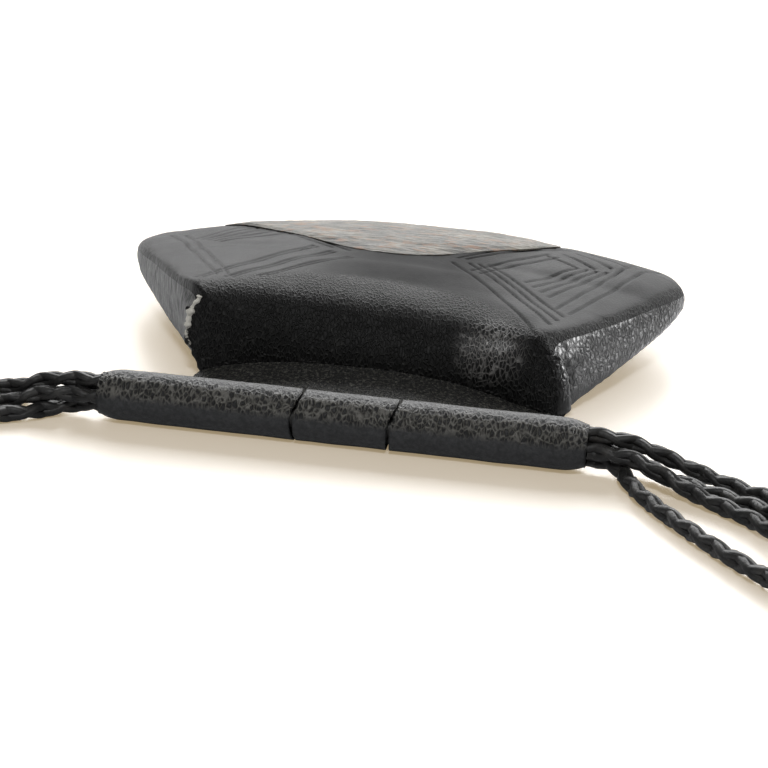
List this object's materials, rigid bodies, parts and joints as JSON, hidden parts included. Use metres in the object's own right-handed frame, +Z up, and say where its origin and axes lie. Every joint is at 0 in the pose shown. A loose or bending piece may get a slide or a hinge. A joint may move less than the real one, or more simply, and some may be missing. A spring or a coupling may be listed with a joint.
{
  "type": "neck pouch wallet",
  "caption": "Small flat leather neck pouch with an inset window, hung by a leather web from a cord tube that carries braided neck cords.",
  "frame": {"origin": "middle of the pouch's flat back, where it rests on a table", "axes": "+X to the right along the cord tube, +Y from the tube towards the pouch's far end, +Z up out of the pouch's face"},
  "size_m": [0.2298, 0.1531, 0.0194],
  "materials": {
    "face_leather": "tooled leather, glossy on the front wall and satin on the face",
    "inset_hide": "mottled hide with orange-brown flecks",
    "side_leather": "wrinkled satin leather with worn pale edges",
    "tube_leather": "rough pebbled leather",
    "cord_leather": "braided leather cord",
    "board": "plain stiffening board",
    "packet": "folded paper",
    "wrap_cloth": "plain lining cloth"
  },
  "bodies": {
    "cord_tube": {"cord_tube_left": "tube_leather", "cord_tube_middle": "tube_leather", "cord_tube_right": "tube_leather", "hanging_web": "tube_leather", "tube_cord_1": "cord_leather", "tube_cord_2": "cord_leather", "tube_cord_3": "cord_leather", "tube_cord_4": "cord_leather", "left_cord_1": "cord_leather", "left_cord_2": "cord_leather", "left_cord_3": "cord_leather", "left_cord_4": "cord_leather", "right_cord_1": "cord_leather", "right_cord_2": "cord_leather", "right_cord_3": "cord_leather", "right_cord_4": "cord_leather", "left_coil": "cord_leather", "left_coil_tie": "tube_leather", "left_end_knot": "cord_leather", "right_coil": "cord_leather", "right_coil_tie": "tube_leather", "right_end_knot": "cord_leather"},
    "pouch": {"face_leather": "face_leather", "window_inset": "inset_hide", "face_board": "board", "left_side_leather": "side_leather", "right_side_leather": "side_leather", "far_end_leather": "side_leather", "back_leather": "side_leather", "inner_packet": "packet", "packet_wrap": "wrap_cloth"}
  },
  "joints": [
    {"name": "web_crease", "type": "hinge", "parent": "cord_tube", "child": "pouch", "pos_m": [0, -0.0309, 0.0009], "axis": [1, 0, 0], "range_deg": [-90, 75]}
  ]
}
